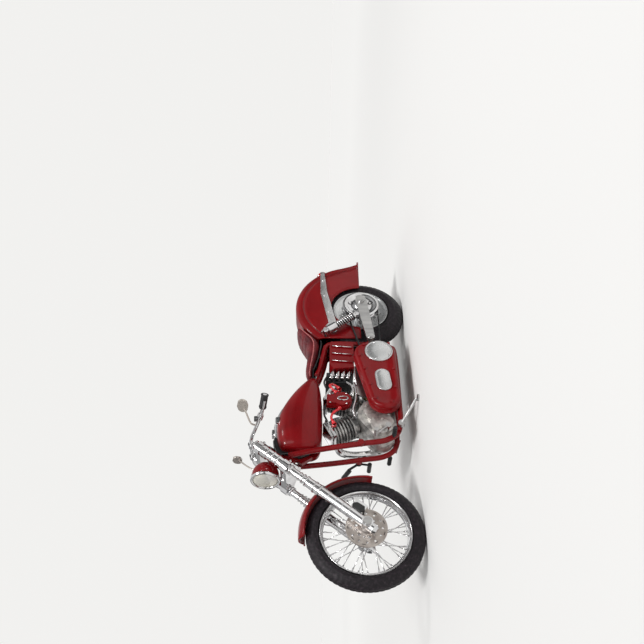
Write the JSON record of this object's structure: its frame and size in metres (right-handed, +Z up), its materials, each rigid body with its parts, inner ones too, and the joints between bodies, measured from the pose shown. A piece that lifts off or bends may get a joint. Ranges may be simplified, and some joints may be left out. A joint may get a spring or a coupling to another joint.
{
  "type": "tin wind-up motorcycle",
  "caption": "Large tin wind-up toy motorcycle with a raked fork, V-twin engine dress-up and a spring motor that drives the rear wheel by belt.",
  "frame": {"origin": "centre of the ground plane under the bike's bounding box", "axes": "+X to the rear of the bike, -X the way it rolls, -Y its left side, +Z up"},
  "size_m": [0.2746, 0.0862, 0.1209],
  "materials": {
    "red_tin": "deep red gloss lacquer on tin",
    "cast_case": "tumbled casting",
    "fins": "black with bright fin edges",
    "chrome": "bright plating",
    "steel": "bright steel",
    "brass": "stamped brass",
    "lead": "bright red",
    "black_tin": "satin black",
    "leather": "dark red, stitched",
    "red_lens": "clear red",
    "rubber": "matt black",
    "tyre": "matt black",
    "disc": "warm grey",
    "lens": "clear"
  },
  "bodies": {
    "chassis": {"frame_backbone": "red_tin", "frame_cradle_left": "red_tin", "frame_cradle_right": "red_tin", "crankcase_left": "cast_case", "crankcase_right": "cast_case", "cylinders": "fins", "rocker_boxes": "chrome", "pushrod_tubes": "chrome", "plug_leads": "lead", "coil_cover": "red_tin", "air_cleaner": "chrome", "exhaust_pipes": "chrome", "muffler": "chrome", "oil_tank": "red_tin", "motor_plates": "steel", "motor_pillars": "brass", "mainspring": "steel", "primary_cover": "red_tin", "derby_cover": "chrome", "inspection_cover": "chrome", "cover_screws": "chrome", "fuel_tank_left": "red_tin", "fuel_tank_right": "red_tin", "tank_console": "chrome", "fuel_cap": "chrome", "seat_pan": "black_tin", "seat_cushion": "leather", "rear_fender": "red_tin", "fender_struts": "chrome", "tail_lamp": "red_lens", "footpegs": "rubber", "rear_axle": "steel", "shock_bodies": "chrome", "shock_springs": "chrome", "swing_arm": "steel", "drive_belt": "rubber"},
    "fork": {"fork_yokes": "chrome", "fork_tubes": "chrome", "fork_sliders": "chrome", "front_fender": "red_tin", "headlamp_shell": "red_tin", "headlamp_rim": "chrome", "headlamp_lens": "lens", "handlebar": "chrome", "grips": "rubber", "mirrors": "chrome", "front_axle": "steel"},
    "front_wheel": {"front_tyre": "tyre", "front_rim": "chrome", "front_spokes": "chrome", "front_hub": "chrome", "brake_disc": "disc"},
    "rear_wheel": {"rear_tyre": "tyre", "rear_rim": "chrome"},
    "drive_arbor": {"drive_arbor": "brass"},
    "great_wheel": {"great_wheel": "brass"},
    "winding_key": {"winding_key": "steel"},
    "kickstand": {"kickstand": "steel"},
    "shift_lever": {"shift_lever": "chrome"},
    "brake_pedal": {"brake_pedal": "rubber"}
  },
  "joints": [
    {"name": "steer", "type": "hinge", "parent": "chassis", "child": "fork", "pos_m": [-0.09809, 0, 0.03072], "axis": [0.6293, 0, 0.7771], "range_deg": [-35, 35]},
    {"name": "front_wheel_spin", "type": "hinge", "parent": "fork", "child": "front_wheel", "pos_m": [-0.10275, 0, 0.0345], "axis": [0, 1, 0], "continuous": true},
    {"name": "rear_wheel_spin", "type": "hinge", "parent": "chassis", "child": "rear_wheel", "pos_m": [0.08225, 0, 0.0325], "axis": [0, 1, 0], "continuous": true},
    {"name": "drive_arbor_spin", "type": "hinge", "parent": "chassis", "child": "drive_arbor", "pos_m": [0.02325, 0, 0.025], "axis": [0, 1, 0], "continuous": true},
    {"name": "great_wheel_spin", "type": "hinge", "parent": "chassis", "child": "great_wheel", "pos_m": [0.0064, 0, 0.0245], "axis": [0, 1, 0], "continuous": true},
    {"name": "key_wind", "type": "hinge", "parent": "chassis", "child": "winding_key", "pos_m": [0.0064, 0, 0.0245], "axis": [0, 1, 0], "continuous": true},
    {"name": "kickstand_fold", "type": "hinge", "parent": "chassis", "child": "kickstand", "pos_m": [-0.03235, -0.0144, 0.0104], "axis": [0, -1, 0], "range_deg": [0, 38]},
    {"name": "start_lever_tilt", "type": "hinge", "parent": "chassis", "child": "shift_lever", "pos_m": [-0.03515, -0.0158, 0.019], "axis": [0, 1, 0], "range_deg": [-14, 14]},
    {"name": "brake_pedal_press", "type": "hinge", "parent": "chassis", "child": "brake_pedal", "pos_m": [-0.04485, 0.0127, 0.036], "axis": [0, -1, 0], "range_deg": [0, 16]}
  ],
  "couplings": [
    {"joint": "drive_arbor_spin", "follows": "rear_wheel_spin", "ratio": 2.5},
    {"joint": "great_wheel_spin", "follows": "rear_wheel_spin", "ratio": -0.83333}
  ]
}
